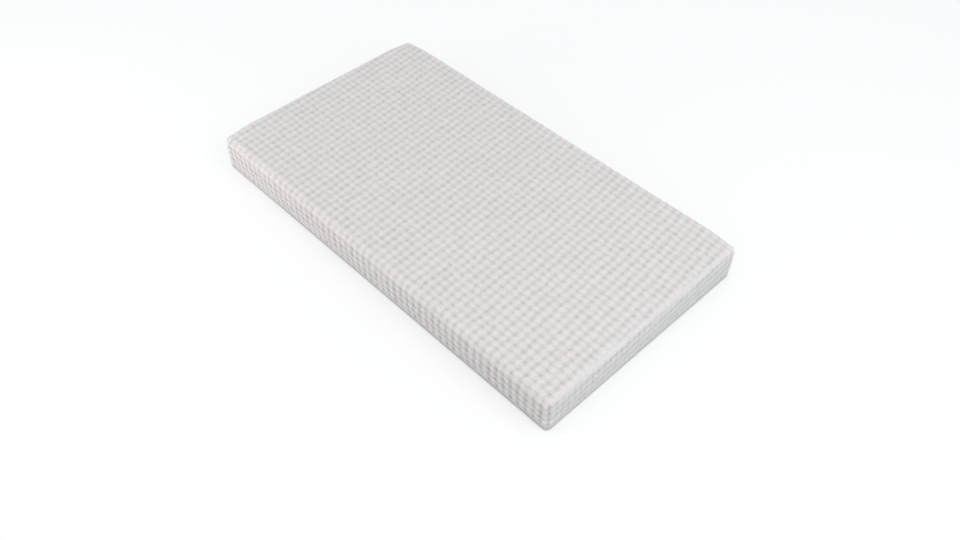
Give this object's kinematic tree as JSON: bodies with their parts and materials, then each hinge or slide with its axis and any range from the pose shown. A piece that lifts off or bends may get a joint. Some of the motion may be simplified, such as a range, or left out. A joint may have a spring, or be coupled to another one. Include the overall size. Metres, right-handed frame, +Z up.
{
  "type": "pressure relief mattress",
  "caption": "Layered foam pressure relief mattress with firm edge rails, in a white padded bubble-knit cover that unzips all round its foot and lifts off.",
  "frame": {"origin": "centre of the base panel's underside, the face that the mattress lies on", "axes": "+X across the width towards the side with the zip's slider, +Y along the length towards the head end, +Z up"},
  "size_m": [1.1, 2, 0.18],
  "materials": {
    "knit_cover": "matte",
    "base_fabric": "matte",
    "zip_tape": "matte",
    "zip_coil": "satin",
    "zip_metal": "satin",
    "visco_foam": "matte",
    "transition_foam": "matte",
    "core_foam": "matte",
    "rail_foam": "matte"
  },
  "bodies": {
    "base_cover": {"base_panel": "base_fabric", "base_border": "base_fabric", "zip_tape_lower": "zip_tape", "zip_coil_lower": "zip_coil", "zip_stops_lower": "zip_coil"},
    "foam_core": {"support_core": "core_foam", "side_rail_left": "rail_foam", "side_rail_right": "rail_foam", "end_rail_head": "rail_foam", "end_rail_foot": "rail_foam", "transition_layer": "transition_foam", "visco_layer": "visco_foam"},
    "top_cover": {"cover_top": "knit_cover", "corner_seams": "knit_cover", "zip_tape_upper": "zip_tape", "zip_coil_upper": "zip_coil", "zip_stop_upper": "zip_coil"},
    "slider": {"zip_slider": "zip_metal"},
    "pull": {"zip_pull": "zip_metal"}
  },
  "joints": [
    {"name": "core_lift", "type": "slide", "parent": "base_cover", "child": "foam_core", "axis": [0, 0, 1], "range_m": [0, 0.2]},
    {"name": "cover_lift", "type": "slide", "parent": "foam_core", "child": "top_cover", "axis": [0, 0, 1], "range_m": [0, 0.25]},
    {"name": "zip_travel", "type": "slide", "parent": "base_cover", "child": "slider", "axis": [0, 1, 0], "range_m": [0, 1.7]},
    {"name": "pull_swing", "type": "hinge", "parent": "slider", "child": "pull", "pos_m": [0.54776, -0.8, 0.014], "axis": [0, 0, 1], "range_deg": [0, 160]}
  ]
}
